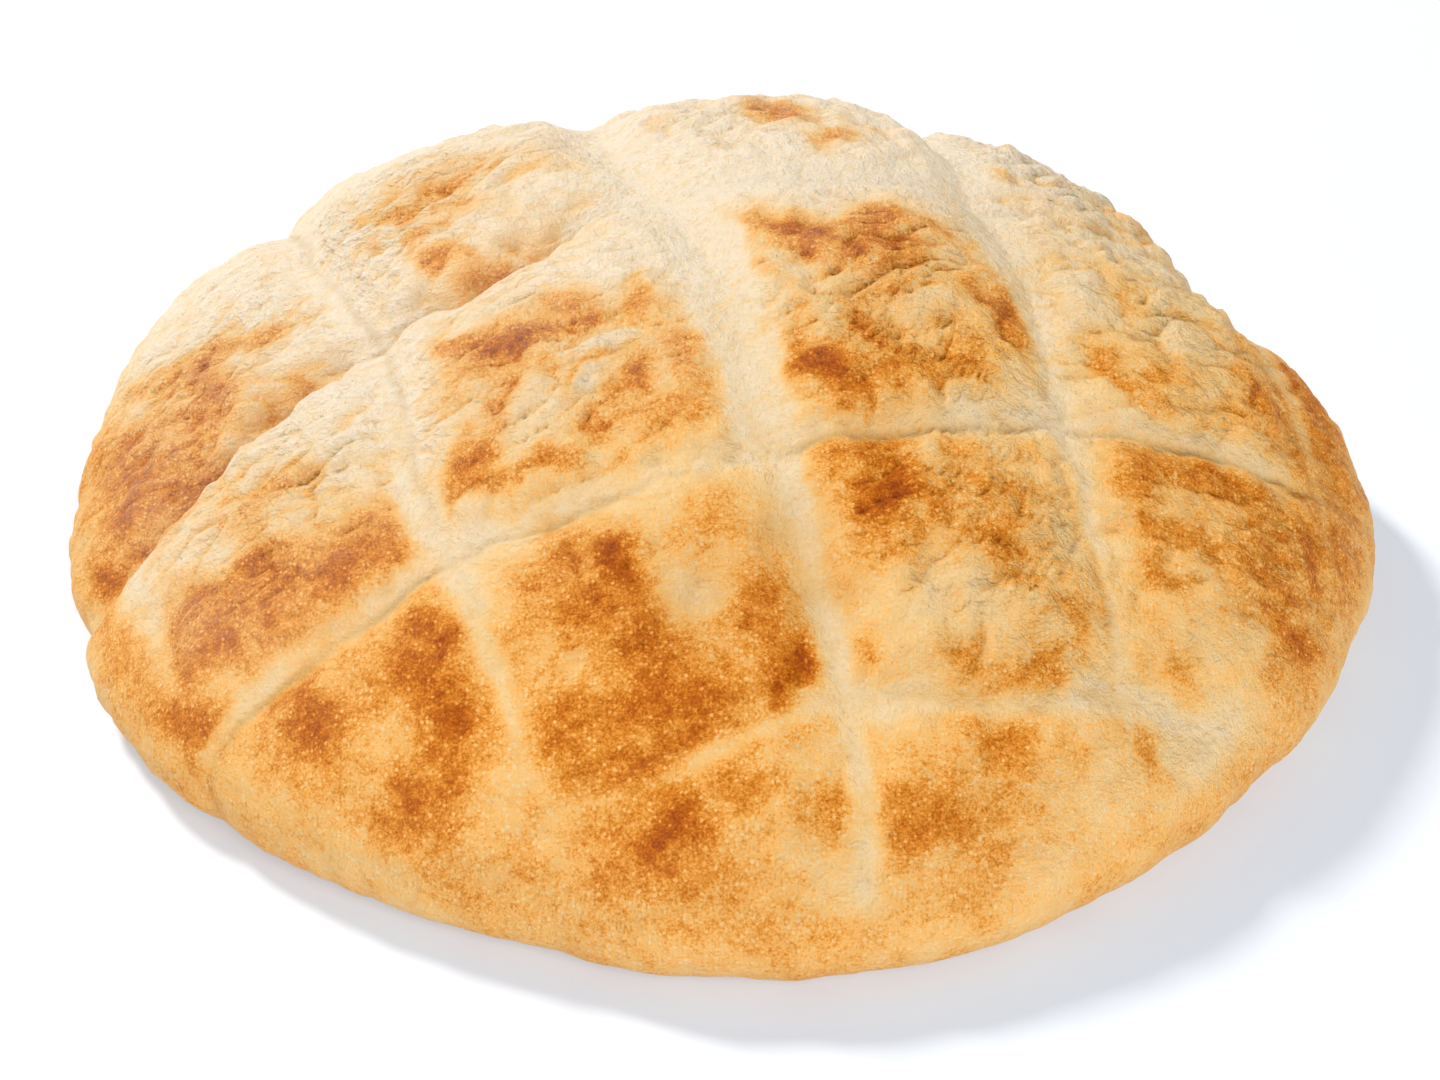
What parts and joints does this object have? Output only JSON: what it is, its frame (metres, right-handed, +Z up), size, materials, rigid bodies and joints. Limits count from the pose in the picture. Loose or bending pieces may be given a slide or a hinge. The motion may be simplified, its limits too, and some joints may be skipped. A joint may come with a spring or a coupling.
{
  "type": "flatbread loaf",
  "caption": "Round puffed lepinja flatbread with a scored lattice of pillows over a domed, scorched crust and a flat base.",
  "frame": {"origin": "on the flat base, under the middle of the loaf's box", "axes": "+Z up from the base through the crown, -Y towards the side shown nearest, +X to its right"},
  "size_m": [0.2116, 0.2062, 0.0627],
  "materials": {
    "baked_crust": "matte baked crust, pale cream in the scores, golden to dark brown on the pillows"
  },
  "bodies": {
    "root": {"loaf": "baked_crust"}
  },
  "joints": []
}
